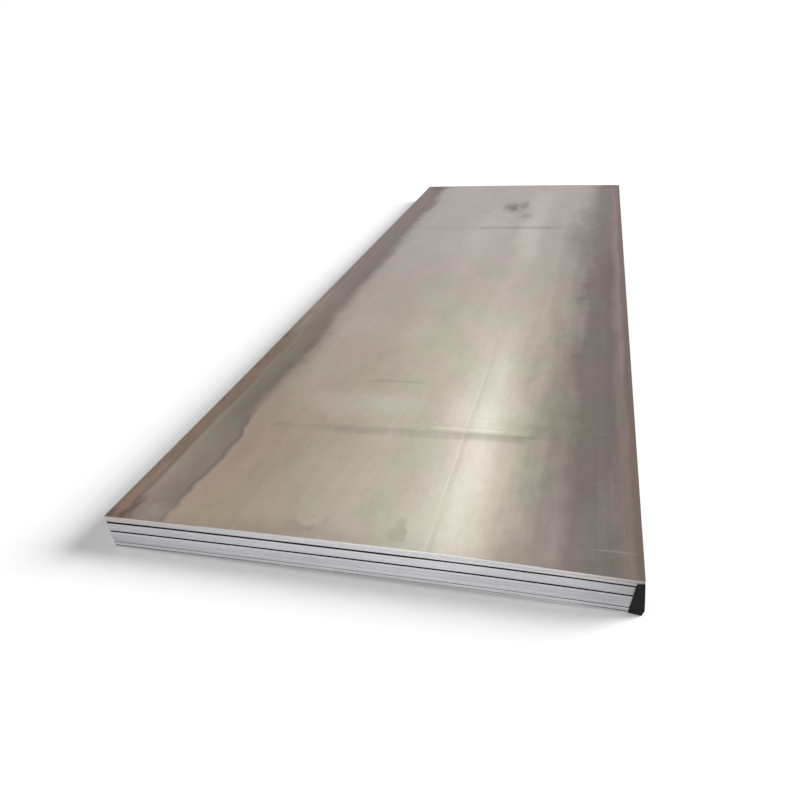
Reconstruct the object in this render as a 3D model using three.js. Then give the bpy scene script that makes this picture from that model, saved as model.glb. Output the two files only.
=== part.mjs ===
// A stack of six heavy rolled steel plates, lying flat one on another, with a black rubber guard
// at the corner where the top plate overhangs the narrower plates below it.
// Millimetres. X across the plates, Y along the rolling direction, Z up.
// The origin is on the floor under the middle of the whole stack, guard included. Places below
// are measured from the middle of the top plate, and buildStack shifts them all at the end.

import * as THREE from 'three';
import { mergeVertices } from 'three/addons/utils/BufferGeometryUtils.js';

// ---- driving dimensions -------------------------------------------------------------------

const LENGTH = 6000;          // top plate, along Y
const WIDTH = 2000;           // top plate, across X
const CLEARANCE = 0.3;        // between pieces that rest on each other

const SHEAR_ROUNDING = 2.5;   // radius that the shear leaves on the long arrises
const END_ROUNDING = 2;       // the same on the arrises of the two ends

const END_RUN = (LENGTH - 2 * END_ROUNDING) / 4;   // each end bends over this length
const REAR_SHARE = 0.5;       // the rear end bends half as much as the front end
const CROWN_PEAK = 300;       // X of the crown's highest line

const CROSSWISE_FACETS = 8;   // across the crown
const LENGTHWISE_FACETS = 18; // crowded towards the ends, where the plates bend

// The plates, from the floor up. left and right are the places of the long edges. crown is how
// far the front end bulges up between its corners. liftLeft and liftRight are how far its two
// corners spring up from the plate's place in the flat part of the stack.
const PLATES = [
  {
    name: 'bottom_plate', thickness: 8, length: 5994, left: -986.5, right: 965,
    crown: 8, liftLeft: 0, liftRight: 0,
  },
  {
    name: 'fifth_plate', thickness: 14, length: 5998, left: -989.5, right: 966.5,
    crown: 8, liftLeft: 0.6, liftRight: 0.6,
  },
  {
    name: 'fourth_plate', thickness: 14, length: 5995, left: -990.5, right: 967,
    crown: 8, liftLeft: 0.8, liftRight: 1.5,
  },
  {
    name: 'third_plate', thickness: 36, length: 5999, left: -995, right: 971,
    crown: 8.1, liftLeft: 1.1, liftRight: 1.8,
  },
  {
    name: 'second_plate', thickness: 38, length: 5996, left: -997.5, right: 974,
    crown: 9, liftLeft: 4.8, liftRight: 4.6,
  },
  {
    name: 'top_plate', thickness: 28, length: LENGTH, left: -WIDTH / 2, right: WIDTH / 2,
    crown: 9.5, liftLeft: 9.2, liftRight: 6.8,
  },
];

// The guard's body fills the corner under the overhang, against the second plate's side. Its lip
// reaches in front of the plates' ends, up to the top plate and a little way inwards.
const GUARD = {
  depth: 124,                 // along Y, lip included
  lip: 4,                     // the lip's front face stands this far in front of the plates
  lipDraft: 1,                // the lip's back leans this far forward, from foot to top
  lipGap: 0.5,                // between the lip's foot and the top plate
  footInner: 956,             // X of the lip's inner side at its foot
  footRise: 6,                // the foot slopes up towards the plates, to this height there
  headInner: 975,             // X of the lip's inner side at its top
  bodyInner: 974.5,           // X of the body's inner side
  headOuter: WIDTH / 2,       // X of its outer side at the lip's top
  flare: 8,                   // its outer side leans out this far, down to the chamfer
  innerHeight: 128,           // the lip's top edge slopes from here
  outerHeight: 132,           // up to here
  chamferRun: 8.5,            // cut off its outer lower edge, across
  chamferRise: 22,            // and upwards
  rounding: 1,
};

// ---- materials ----------------------------------------------------------------------------

const rolledSteel = new THREE.MeshStandardMaterial({
  name: 'rolled_steel', color: 0xb3a99f, roughness: 0.42, metalness: 0.85,
});
const shearedSteel = new THREE.MeshStandardMaterial({
  name: 'sheared_steel', color: 0xb9b8bd, roughness: 0.5, metalness: 0.8,
});
const blackRubber = new THREE.MeshStandardMaterial({
  name: 'black_rubber', color: 0x2d2d2b, roughness: 0.85, metalness: 0,
});

// ---- how the plates lie -------------------------------------------------------------------

// Share of the full end bend at y: 1 at the front end, REAR_SHARE at the rear, 0 between.
function endBend(y) {
  const half = LENGTH / 2 - END_ROUNDING;
  const fromFront = Math.max(0, 1 - (y + half) / END_RUN);
  const fromRear = Math.max(0, 1 - (half - y) / END_RUN);
  return Math.min(1, fromFront) ** 2 + REAR_SHARE * Math.min(1, fromRear) ** 2;
}

// Share of the crown at x: 1 on its highest line, 0 along the plate's two long edges.
function crownShare(plate, x) {
  const edge = x < CROWN_PEAK ? plate.left + SHEAR_ROUNDING : plate.right - SHEAR_ROUNDING;
  const across = Math.min(1, (x - CROWN_PEAK) / (edge - CROWN_PEAK));
  return 1 - across ** 2;
}

// How far a plate stands above its flat place at (x, y).
function rise(plate, x, y) {
  const lift = THREE.MathUtils.mapLinear(
    x, -WIDTH / 2, WIDTH / 2, plate.liftLeft, plate.liftRight);
  return (plate.crown * crownShare(plate, x) + lift) * endBend(y);
}

// Height of each plate's underside where the stack lies flat.
function stackHeights() {
  let height = 0;
  return PLATES.map((plate) => {
    const underside = height;
    height += plate.thickness + CLEARANCE;
    return underside;
  });
}

// ---- pieces -------------------------------------------------------------------------------

// The plate's section: a long bar with rounded corners, its faces divided across the crown.
function plateSection(plate) {
  const { left, right, thickness } = plate;
  const r = SHEAR_ROUNDING;
  const run = right - left - 2 * r;
  const section = new THREE.Shape();
  section.moveTo(left + r, 0);
  for (let i = 1; i <= CROSSWISE_FACETS; i++) {
    section.lineTo(left + r + (run * i) / CROSSWISE_FACETS, 0);
  }
  section.absarc(right - r, r, r, -Math.PI / 2, 0);
  section.absarc(right - r, thickness - r, r, 0, Math.PI / 2);
  for (let i = CROSSWISE_FACETS - 1; i >= 0; i--) {
    section.lineTo(left + r + (run * i) / CROSSWISE_FACETS, thickness);
  }
  section.absarc(left + r, thickness - r, r, Math.PI / 2, Math.PI);
  section.absarc(left + r, r, r, Math.PI, Math.PI * 1.5);
  return section;
}

// An outline drawn in X and Z, extruded along Y from y = 0, with both ends rounded.
function extrudeAlongY(outline, depth, rounding, steps) {
  const geometry = new THREE.ExtrudeGeometry(outline, {
    depth: depth - 2 * rounding,
    steps,
    curveSegments: 2,
    bevelEnabled: true,
    bevelThickness: rounding,
    bevelSize: rounding,
    bevelOffset: -rounding,
    bevelSegments: 2,
  });
  geometry.translate(0, 0, rounding - depth);
  geometry.rotateX(Math.PI / 2);
  geometry.deleteAttribute('normal');
  geometry.deleteAttribute('uv');
  return mergeVertices(geometry, 1e-4);
}

// Moves the even divisions along Y towards the two ends, and leaves the end roundings alone.
function crowdTowardsEnds(y, length) {
  const straight = length - 2 * END_ROUNDING;
  const share = (y - END_ROUNDING) / straight;
  if (share <= 0 || share >= 1) return y;
  return END_ROUNDING + (straight * (1 - Math.cos(Math.PI * share))) / 2;
}

function plateGeometry(plate) {
  const { length } = plate;
  const geometry = extrudeAlongY(plateSection(plate), length, END_ROUNDING, LENGTHWISE_FACETS);
  const position = geometry.attributes.position;
  for (let i = 0; i < position.count; i++) {
    const y = crowdTowardsEnds(position.getY(i), length) - length / 2;
    position.setY(i, y);
    position.setZ(i, position.getZ(i) + rise(plate, position.getX(i), y));
  }
  geometry.computeVertexNormals();
  return geometry;
}

// The guard's outline as seen from the front.
function guardOutline() {
  const footOuter = GUARD.headOuter + GUARD.flare;
  const outline = new THREE.Shape();
  outline.moveTo(GUARD.footInner, GUARD.footRise);
  outline.lineTo(footOuter - GUARD.chamferRun, 0);
  outline.lineTo(footOuter, GUARD.chamferRise);
  outline.lineTo(GUARD.headOuter, GUARD.outerHeight);
  outline.lineTo(GUARD.headInner, GUARD.innerHeight);
  outline.closePath();
  return outline;
}

// The outline extruded along Y. Two divisions make the lip: everything behind them is the body,
// cut down to the height that fits under the top plate and cut back beside the other plates.
function guardGeometry(headroom) {
  const geometry = extrudeAlongY(guardOutline(), GUARD.depth, GUARD.rounding, 3);
  const position = geometry.attributes.position;
  const lipFoot = GUARD.lip - GUARD.lipGap;
  for (let i = 0; i < position.count; i++) {
    const share = position.getY(i) / GUARD.depth;
    if (share > 0.2 && share < 0.5) position.setY(i, lipFoot - GUARD.lipDraft);
    if (share > 0.5 && share < 0.8) position.setY(i, lipFoot);
    if (share > 0.5) {
      position.setZ(i, Math.min(position.getZ(i), headroom));
      position.setX(i, Math.max(position.getX(i), GUARD.bodyInner));
    }
  }
  geometry.translate(0, -LENGTH / 2 - GUARD.lip, 0);
  geometry.computeVertexNormals();
  return geometry;
}

// ---- assembly -----------------------------------------------------------------------------

function addPiece(group, name, geometry, material) {
  const piece = new THREE.Mesh(geometry, material);
  piece.name = name;
  group.add(piece);
  return piece;
}

function buildStack() {
  const stack = new THREE.Group();
  const undersides = stackHeights();

  PLATES.forEach((plate, level) => {
    const material = plate.name === 'top_plate' ? rolledSteel : shearedSteel;
    const piece = addPiece(stack, plate.name, plateGeometry(plate), material);
    piece.position.set(0, 0, undersides[level]);
  });

  const topLevel = PLATES.length - 1;
  const guardRear = GUARD.depth - GUARD.lip - LENGTH / 2;
  const headroom = undersides[topLevel] + rise(PLATES[topLevel], GUARD.headOuter, guardRear);
  addPiece(stack, 'corner_guard', guardGeometry(headroom - CLEARANCE), blackRubber);

  // The guard stands out at the front and on the right, so the middle of the whole lies there.
  stack.position.set(-GUARD.flare / 2, GUARD.lip / 2, 0);
  return new THREE.Group().add(stack);
}

export default buildStack();
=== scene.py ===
"""A stack of heavy rolled steel plates with a black rubber guard at one corner, which stands in for
the shade under the top plate's overhang, in a pale studio.

Metres. X across the plates, Y along the rolling direction, Z up, origin on the floor under the
middle of the stack. Each plate of the frame is replaced by the same plate with fine rounded
arrises and a surface that is fine enough to curve smoothly. The guard keeps the frame's shape.
"""

import math

import bmesh
import bpy
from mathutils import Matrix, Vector, noise


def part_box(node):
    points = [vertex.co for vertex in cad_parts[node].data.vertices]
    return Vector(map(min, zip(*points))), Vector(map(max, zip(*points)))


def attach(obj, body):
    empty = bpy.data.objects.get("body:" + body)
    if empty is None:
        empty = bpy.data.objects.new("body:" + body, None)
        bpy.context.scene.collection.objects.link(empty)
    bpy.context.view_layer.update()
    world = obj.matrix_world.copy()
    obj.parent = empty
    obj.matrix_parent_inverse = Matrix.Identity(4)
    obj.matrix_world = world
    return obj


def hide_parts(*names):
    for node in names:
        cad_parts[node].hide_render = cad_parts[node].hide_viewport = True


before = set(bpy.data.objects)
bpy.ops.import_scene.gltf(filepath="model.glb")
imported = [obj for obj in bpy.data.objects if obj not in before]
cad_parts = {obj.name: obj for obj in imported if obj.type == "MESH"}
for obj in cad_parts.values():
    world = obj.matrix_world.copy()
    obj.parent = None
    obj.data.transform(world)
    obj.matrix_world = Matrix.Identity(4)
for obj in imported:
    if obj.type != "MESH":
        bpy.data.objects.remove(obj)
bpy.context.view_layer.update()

# ---- the stack's driving dimensions ------------------------------------------

top_low, top_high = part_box("top_plate")
MIDDLE = Vector(((top_low.x + top_high.x) / 2, (top_low.y + top_high.y) / 2))
WIDTH = top_high.x - top_low.x
LENGTH = top_high.y - top_low.y

SHEAR_ROUNDING = 0.0025           # radius of the arrises on the solids
END_ROUNDING = 0.002              # the same at their two ends
END_RUN = (LENGTH - 2 * END_ROUNDING) / 4
REAR_SHARE = 0.5                  # the rear end bends half as much as the front end
CROWN_PEAK = 0.3                  # X of the crown's highest line, from the plates' middle

# From the floor up. crown is how far the front end bulges up between its corners, and lifts are how
# far those corners spring up. arris is the radius of the edges. The rest are the marks of the cut
# sides, each at the left edge, on the crown's line and at the right edge: tone is their brightness,
# which is painted light, mostly brightest on the crown's line where the glare falls, and raised on
# the lower plates against the shaded floor that they reflect; the foot and head grime how far grime
# and the painted shade of the joints reach up from the underside and down from the upper face; wrap
# how far the upper face's oxide reaches down over the arris; rim how bright the arrises are worn,
# with a painted highlight; and drag how dark the shear's drag line is. A value below 0 shows nothing
# by itself, but moves the place where a wrap or a worn rim begins. A mark that isn't named is 0.
PLATES = {
    "bottom_plate": dict(
        thickness=0.008, crown=0.0080, lifts=(0.0, 0.0), arris=0.0003,
        tone=(1.03, 1.14, 1.60), head_grime_and_shade=(0.0034, 0.0018, 0.0026)),
    "fifth_plate": dict(
        thickness=0.014, crown=0.0080, lifts=(0.0006, 0.0006), arris=0.0001,
        tone=(1.16, 1.25, 1.42), foot_grime_and_shade=(0.0016, 0.0009, 0.0013), rim=(0.2, 0.7, 0.2)),
    "fourth_plate": dict(
        thickness=0.014, crown=0.0080, lifts=(0.0008, 0.0015), arris=0.0001,
        tone=(0.99, 1.43, 1.18), head_grime_and_shade=(0.0008, 0, 0), rim=(0.1, 0.4, 0.1)),
    "third_plate": dict(
        thickness=0.036, crown=0.0081, lifts=(0.0011, 0.0018), arris=0.0010,
        tone=(0.99, 1.15, 1.02), head_grime_and_shade=(0.0013, 0.0009, 0.0011), rim=(0.4, 0.4, 0.4),
        drag=(0.06, 0.03, 0.15)),
    "second_plate": dict(
        thickness=0.038, crown=0.0090, lifts=(0.0048, 0.0046), arris=0.0008,
        tone=(0.86, 1.18, 0.86), head_grime_and_shade=(0.0042, 0.0042, 0.0036), rim=(0.5, 0.5, 0.4)),
    "top_plate": dict(
        thickness=0.028, crown=0.00945, lifts=(0.0092, 0.0068), arris=0.0020,
        tone=(0.77, 1.15, 0.95), foot_grime_and_shade=(0.0030, 0.0030, 0.0026),
        wrap=(0.0021, -0.0008, 0.0042), rim=(-1.2, 1.1, -0.6), drag=(0, 0, 0.30)),
}
SIDE_MARKS = ("tone", "foot_grime_and_shade", "head_grime_and_shade", "wrap", "rim", "drag")
NO_MARK = (0, 0, 0)

ROWS_ACROSS = 24                  # even divisions of a plate's face
ROWS_ALONG = 64                   # divisions along it, crowded towards the ends
EDGE_MARGIN = 0.004               # the first rows lie this far from a plate's arrises
ARRIS_STEPS = 3                   # facets round an arris
CUT_PRECISION = 1e-7              # a row goes through the points that are this close to it
LEVEL_PRECISION = 1e-5            # a face with all its points this close to a level lies in it

SHEAR_WAVER = 0.0004              # how far a sheared edge strays from a straight line
WAVER_FINENESS = 6.0              # how quickly it wanders
SIDES_APART = 10.0                # steps in the noise, so that no two edges wander alike
PLATES_APART = 7.3
ARRIS_REACH = 1.01                # a point within this many radii of a side is on its arris


# ---- how the plates lie ------------------------------------------------------

def end_bend(y):
    """Share of the full end bend: 1 at the front end, REAR_SHARE at the rear, 0 between."""
    half = LENGTH / 2 - END_ROUNDING
    from_front = min(1.0, max(0.0, 1 - (y + half) / END_RUN))
    from_rear = min(1.0, max(0.0, 1 - (half - y) / END_RUN))
    return from_front**2 + REAR_SHARE * from_rear**2


def rise(plate, left, right, x, y):
    """How far a plate stands above its flat place at a point from the plates' middle."""
    edge = left + SHEAR_ROUNDING if x < CROWN_PEAK else right - SHEAR_ROUNDING
    across = min(1.0, (x - CROWN_PEAK) / (edge - CROWN_PEAK))
    lift_left, lift_right = plate["lifts"]
    lift = lift_left + (lift_right - lift_left) * (x + WIDTH / 2) / WIDTH
    return (plate["crown"] * (1 - across**2) + lift) * end_bend(y)


# ---- modelling ---------------------------------------------------------------

def cut_rows(mesh, axis, places):
    """Cuts the whole mesh square to an axis at each place."""
    normal = Vector((axis == 0, axis == 1, axis == 2))
    for place in places:
        bmesh.ops.bisect_plane(
            mesh, geom=mesh.verts[:] + mesh.edges[:] + mesh.faces[:],
            plane_co=normal * place, plane_no=normal, dist=CUT_PRECISION,
        )


def sheared_bar(left, right, length, thickness, arris):
    """A flat bar about the plates' middle, its underside at zero, with rounded arrises."""
    mesh = bmesh.new()
    bmesh.ops.create_cube(mesh, size=1)
    bmesh.ops.scale(mesh, vec=(right - left, length, thickness), verts=mesh.verts)
    bmesh.ops.translate(mesh, vec=((left + right) / 2, 0, thickness / 2), verts=mesh.verts)
    bmesh.ops.bevel(
        mesh, geom=mesh.edges[:], offset=arris, segments=ARRIS_STEPS,
        profile=0.5, affect="EDGES", material=-1,
    )
    return mesh


def divide_bar(mesh, left, right, length, thickness, arris):
    """Rows across, along and up the bar, with a row close behind every arris."""
    inset = arris + EDGE_MARGIN
    inner_left, inner_right = left + inset, right - inset
    across = [inner_left + (inner_right - inner_left) * i / ROWS_ACROSS
              for i in range(ROWS_ACROSS + 1)]
    run = length - 2 * inset
    along = [-run / 2 * math.cos(math.pi * i / ROWS_ALONG) for i in range(ROWS_ALONG + 1)]
    upright = [thickness / 2]
    if thickness > 2 * inset:
        upright += [inset, thickness - inset]
    cut_rows(mesh, 0, across)
    cut_rows(mesh, 1, along)
    cut_rows(mesh, 2, upright)


def waver_edges(mesh, left, right, length, arris, seed):
    """Pulls the four sheared sides in by a little that wanders along them."""
    sides = ((0, left), (0, right), (1, -length / 2), (1, length / 2))
    for vert in mesh.verts:
        start = vert.co.copy()
        for axis, side in sides:
            if abs(start[axis] - side) < arris * ARRIS_REACH:
                place = start[1 - axis] * WAVER_FINENESS
                wander = 0.5 + 0.5 * noise.noise(Vector((place, side * SIDES_APART, seed)))
                vert.co[axis] -= math.copysign(SHEAR_WAVER * wander, side)


def along_end(x, left, right, values):
    """A value given at the left edge, on the crown's line and at the right edge, at x."""
    at_left, at_peak, at_right = values
    edge, at_edge = (left, at_left) if x < CROWN_PEAK else (right, at_right)
    return at_peak + (at_edge - at_peak) * (x - CROWN_PEAK) / (edge - CROWN_PEAK)


def mark_sides(mesh, plate, left, right):
    """Keeps what the cut sides' finish needs: each point's height above the underside, its depth
    below the upper face, and what PLATES gives along the end."""
    height, depth = (mesh.verts.layers.float.new(name) for name in ("height", "depth"))
    for vert in mesh.verts:
        vert[height] = vert.co.z
        vert[depth] = plate["thickness"] - vert.co.z
    for name in SIDE_MARKS:
        layer = mesh.verts.layers.float.new(name)
        for vert in mesh.verts:
            vert[layer] = along_end(vert.co.x, left, right, plate.get(name, NO_MARK))


def give_finishes(mesh, thickness):
    """Material 0 on the upper face, 1 on the cut sides with their arrises, 2 on the underside."""
    for face in mesh.faces:
        low = min(vert.co.z for vert in face.verts)
        high = max(vert.co.z for vert in face.verts)
        if low > thickness - LEVEL_PRECISION:
            face.material_index = 0
        elif high < LEVEL_PRECISION:
            face.material_index = 2
        else:
            face.material_index = 1


def add_object(name, data):
    made = bpy.data.objects.new(name, data)
    bpy.context.scene.collection.objects.link(made)
    return made


def mesh_object(mesh, name, materials):
    """Turns a bmesh into an object."""
    data = bpy.data.meshes.new(name)
    mesh.to_mesh(data)
    mesh.free()
    for material in materials:
        data.materials.append(material)
    return add_object(name, data)


def finish_piece(mesh, name, replaced, materials):
    """Turns a bmesh into a smooth piece that stands for a node of the frame."""
    bmesh.ops.recalc_face_normals(mesh, faces=mesh.faces)
    for face in mesh.faces:
        face.smooth = True
    piece = mesh_object(mesh, name, materials)
    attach(piece, "root")
    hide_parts(replaced)


def make_plate(name, level, materials):
    """The plate in place of the frame's, level counting from the floor up."""
    plate = PLATES[name]
    low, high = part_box(name)
    left, right = low.x - MIDDLE.x, high.x - MIDDLE.x
    length = high.y - low.y
    mesh = sheared_bar(left, right, length, plate["thickness"], plate["arris"])
    divide_bar(mesh, left, right, length, plate["thickness"], plate["arris"])
    give_finishes(mesh, plate["thickness"])
    mark_sides(mesh, plate, left, right)
    waver_edges(mesh, left, right, length, plate["arris"], seed=level * PLATES_APART)
    for vert in mesh.verts:
        vert.co.z += rise(plate, left, right, vert.co.x, vert.co.y)
    bmesh.ops.translate(mesh, vec=(MIDDLE.x, MIDDLE.y, low.z), verts=mesh.verts)
    finish_piece(mesh, f"{name}_rolled", name, materials)


# ---- shader building ---------------------------------------------------------

# the sockets of a Mix node that mixes colours
MIX_FACTOR, MIX_FIRST, MIX_SECOND, MIX_RESULT = 0, 6, 7, 2


def feed(tree, socket, value):
    """Links a socket to another one, or sets its value."""
    if isinstance(value, bpy.types.NodeSocket):
        tree.links.new(value, socket)
    else:
        socket.default_value = value


def add_node(tree, kind, inputs=None, **settings):
    """Adds a node, sets its properties, and links or sets its inputs."""
    made = tree.nodes.new(kind)
    for name, value in settings.items():
        setattr(made, name, value)
    for key, value in (inputs or {}).items():
        feed(tree, made.inputs[key], value)
    return made


def calc(tree, operation, *values):
    return add_node(tree, "ShaderNodeMath", dict(enumerate(values)), operation=operation).outputs[0]


def product(tree, first, *others):
    for other in others:
        first = calc(tree, "MULTIPLY", first, other)
    return first


def vector_calc(tree, operation, first, second):
    made = add_node(tree, "ShaderNodeVectorMath", {0: first, 1: second}, operation=operation)
    return made.outputs["Value" if operation == "LENGTH" else "Vector"]


def ramp(tree, value, start, end, low=0.0, high=1.0):
    """low where value is at start, high where it is at end, with a smooth change between. The
    smooth step keeps to these limits by itself, so the node has no clamp."""
    made = add_node(
        tree, "ShaderNodeMapRange",
        {"Value": value, "From Min": start, "From Max": end, "To Min": low, "To Max": high},
        interpolation_type="SMOOTHSTEP", clamp=False,
    )
    return made.outputs["Result"]


def between(tree, share, low, high):
    """low where a 0 to 1 share is nothing, high where it is full."""
    return ramp(tree, share, 0.0, 1.0, low, high)


def opaque(colour):
    """A colour as a socket takes it: a link as it is, three numbers with an alpha of 1."""
    return colour if isinstance(colour, bpy.types.NodeSocket) else (*colour, 1)


def mix_colour(tree, factor, first, second, blend="MIX"):
    return add_node(
        tree, "ShaderNodeMix",
        {MIX_FACTOR: factor, MIX_FIRST: opaque(first), MIX_SECOND: opaque(second)},
        data_type="RGBA", blend_type=blend).outputs[MIX_RESULT]


def lay(tree, colour, tone, strength, *masks):
    """Lays a tone over a colour at a strength, where all the masks are."""
    return mix_colour(tree, product(tree, *masks, strength), colour, tone)


def multiplied(tree, colour, tone):
    return mix_colour(tree, 1.0, colour, tone, blend="MULTIPLY")


def shade(tree, colour, factor):
    """A colour times a grey factor."""
    grey = add_node(tree, "ShaderNodeCombineXYZ", {0: factor, 1: factor, 2: factor})
    return multiplied(tree, colour, grey.outputs[0])


def stretched(tree, position, stretch):
    return add_node(
        tree, "ShaderNodeMapping", {"Vector": position, "Scale": stretch}).outputs["Vector"]


def cloud(tree, position, fineness, detail, output="Fac"):
    return add_node(
        tree, "ShaderNodeTexNoise",
        {"Vector": position, "Scale": fineness, "Detail": detail}).outputs[output]


def object_position(tree):
    return tree.nodes.new("ShaderNodeTexCoord").outputs["Object"]


def axes_of(tree, position):
    """A position's X, Y and Z."""
    return add_node(tree, "ShaderNodeSeparateXYZ", {0: position}).outputs


def attribute(tree, name):
    return add_node(tree, "ShaderNodeAttribute", attribute_name=name).outputs["Fac"]


def centred(tree, value, amount):
    """A 0 to 1 value turned into one that swings amount to each side of 0."""
    return calc(tree, "MULTIPLY", calc(tree, "SUBTRACT", value, 0.5), 2 * amount)


def new_group(name, inputs, outputs):
    """An empty node group. inputs and outputs give each socket's name and kind."""
    group = bpy.data.node_groups.new(name, "ShaderNodeTree")
    for in_out, sockets in (("INPUT", inputs), ("OUTPUT", outputs)):
        for socket_name, kind in sockets.items():
            group.interface.new_socket(
                socket_name, in_out=in_out, socket_type=f"NodeSocket{kind}")
    given = group.nodes.new("NodeGroupInput").outputs
    result = group.nodes.new("NodeGroupOutput").inputs
    return group, given, result


def use_group(tree, group, inputs):
    return add_node(tree, "ShaderNodeGroup", inputs, node_tree=group).outputs


def new_material(name, constants):
    """A material with one Principled shader, whose constant sockets are set."""
    material = bpy.data.materials.new(name)
    material.use_nodes = True
    tree = material.node_tree
    tree.nodes.clear()
    shader = add_node(tree, "ShaderNodeBsdfPrincipled", constants)
    output = tree.nodes.new("ShaderNodeOutputMaterial")
    tree.links.new(shader.outputs["BSDF"], output.inputs["Surface"])
    return material, tree, shader.inputs


def add_bump(tree, surface, height, strength, distance):
    bump = add_node(
        tree, "ShaderNodeBump", {"Height": height, "Strength": strength, "Distance": distance})
    tree.links.new(bump.outputs[0], surface["Normal"])


# ---- shared effects ----------------------------------------------------------

def soft_band_group():
    """1 between two places on a line, fading to 0 over a softness outside each of them."""
    group, given, result = new_group(
        "soft_band",
        {"Place": "Float", "From": "Float", "To": "Float", "Softness": "Float"},
        {"Mask": "Float"},
    )
    before = calc(group, "SUBTRACT", given["From"], given["Softness"])
    after = calc(group, "ADD", given["To"], given["Softness"])
    opening = ramp(group, given["Place"], before, given["From"])
    closing = ramp(group, given["Place"], after, given["To"])
    group.links.new(calc(group, "MULTIPLY", opening, closing), result["Mask"])
    return group


def drawn_grain_group():
    """Streaks drawn out along one direction: Position is stretched before it comes in."""
    group, given, result = new_group(
        "drawn_grain",
        {"Position": "Vector", "Fineness": "Float", "Strength": "Float"},
        {"Factor": "Float", "Height": "Float"},
    )
    streaks = add_node(
        group, "ShaderNodeTexNoise",
        {"Vector": given["Position"], "Scale": given["Fineness"], "Detail": 5.0, "Roughness": 0.65},
    ).outputs["Fac"]
    spread = product(group, calc(group, "SUBTRACT", streaks, 0.5), given["Strength"])
    group.links.new(calc(group, "ADD", spread, 1.0), result["Factor"])
    group.links.new(streaks, result["Height"])
    return group


def blotches_group():
    """Islands of a cloudy pattern. Amount is the share of the surface that they cover."""
    group, given, result = new_group(
        "blotches",
        {"Position": "Vector", "Fineness": "Float", "Amount": "Float", "Softness": "Float"},
        {"Mask": "Float"},
    )
    clouds = add_node(
        group, "ShaderNodeTexNoise",
        {"Vector": given["Position"], "Scale": given["Fineness"], "Detail": 4.0, "Roughness": 0.6},
    ).outputs["Fac"]
    threshold = calc(group, "SUBTRACT", 0.75, calc(group, "MULTIPLY", given["Amount"], 0.5))
    full = calc(group, "ADD", threshold, given["Softness"])
    group.links.new(ramp(group, clouds, threshold, full), result["Mask"])
    return group


def smudge_group():
    """An oval patch: 1 in its middle, 0 past its reach."""
    group, given, result = new_group(
        "smudge", {"Position": "Vector", "Centre": "Vector", "Reach": "Vector"}, {"Mask": "Float"})
    offset = vector_calc(group, "SUBTRACT", given["Position"], given["Centre"])
    share = vector_calc(group, "DIVIDE", offset, given["Reach"])
    distance = vector_calc(group, "LENGTH", share, (0, 0, 0))
    group.links.new(ramp(group, distance, 1.0, 0.2), result["Mask"])
    return group


SOFT_BAND = soft_band_group()
DRAWN_GRAIN = drawn_grain_group()
BLOTCHES = blotches_group()
SMUDGE = smudge_group()
ANY_HEIGHT = 100                  # a smudge's reach upwards, so that it ignores height


def soft_band(tree, place, start, end, softness):
    return use_group(
        tree, SOFT_BAND, {"Place": place, "From": start, "To": end, "Softness": softness})["Mask"]


def blotches(tree, position, fineness, amount, softness):
    return use_group(
        tree, BLOTCHES,
        {"Position": position, "Fineness": fineness, "Amount": amount, "Softness": softness},
    )["Mask"]


def drawn_grain(tree, position, stretch, fineness, strength):
    return use_group(
        tree, DRAWN_GRAIN,
        {"Position": stretched(tree, position, stretch), "Fineness": fineness, "Strength": strength},
    )


def smudge(tree, position, x, y, half_width, half_length):
    return use_group(
        tree, SMUDGE,
        {"Position": position, "Centre": (x, y, 0), "Reach": (half_width, half_length, ANY_HEIGHT)},
    )["Mask"]


# ---- the rolled face: its colours and marks ----------------------------------

# bare steel
WARM_STEEL = (0.345, 0.275, 0.208)
PALE_STEEL = (0.420, 0.375, 0.352)
OLIVE_STEEL = (0.462, 0.425, 0.343)
# burnished steel along the crown's line, with a painted reflection
RIDGE_SHEEN_STEEL = (0.500, 0.462, 0.415)
TAN_STEEL = (0.400, 0.300, 0.230)
PINK_STEEL = (0.450, 0.370, 0.362)
MAUVE_STEEL = (0.330, 0.300, 0.305)
# polished steel, which also paints a highlight
POLISHED_SHEEN_STEEL = (0.660, 0.625, 0.570)
# steel with a painted glint
BRIGHT_GLINT_STEEL = (0.800, 0.780, 0.700)
# oxide
LEFT_OXIDE = (0.262, 0.213, 0.178)
LEFT_GREEN_OXIDE = (0.200, 0.171, 0.134)
LEFT_REAR_OXIDE = (0.215, 0.176, 0.162)
RIGHT_OXIDE = (0.197, 0.165, 0.153)
RIGHT_DARK_OXIDE = (0.150, 0.127, 0.120)
RED_OXIDE = (0.275, 0.205, 0.190)
EDGE_OXIDE = (0.178, 0.130, 0.106)
MAUVE_OXIDE = (0.150, 0.095, 0.110)
GREEN_OXIDE = (0.215, 0.208, 0.178)
OXIDE_LINE = (0.164, 0.140, 0.128)
GREEN_SHADOW = (0.160, 0.146, 0.112)
# rust and dirt
RUST_STRIP = (0.210, 0.155, 0.122)
RUST_RED = (0.330, 0.170, 0.140)
RUST_BROWN = (0.085, 0.045, 0.038)
OLIVE_DIRT = (0.190, 0.168, 0.132)
OLIVE_LINE = (0.120, 0.100, 0.055)
DIRT = (0.050, 0.045, 0.040)
# marks that are rubbed or scraped bright
PALE_MARK = (0.520, 0.475, 0.440)
WARM_MARK = (0.470, 0.395, 0.325)
RED_MARK = (0.450, 0.320, 0.320)
PALE_GREEN = (0.400, 0.410, 0.365)

# Each mark in these tables is laid over the ones above it.
# the left oxide's border bends off a straight line: y from, y to, softness, shift
BORDER_BENDS = (
    (-3.20, -2.35, 0.45, 0.036),
    (-2.55, -2.42, 0.20, 0.022),
    (-1.95, -1.85, 0.15, 0.016),
    (-1.50, -1.20, 0.45, 0.060),
    (-0.60, 0.70, 0.30, 0.020),
    (2.10, 2.30, 0.20, 0.030),
    (2.80, 3.20, 0.20, -0.018),
)
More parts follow.
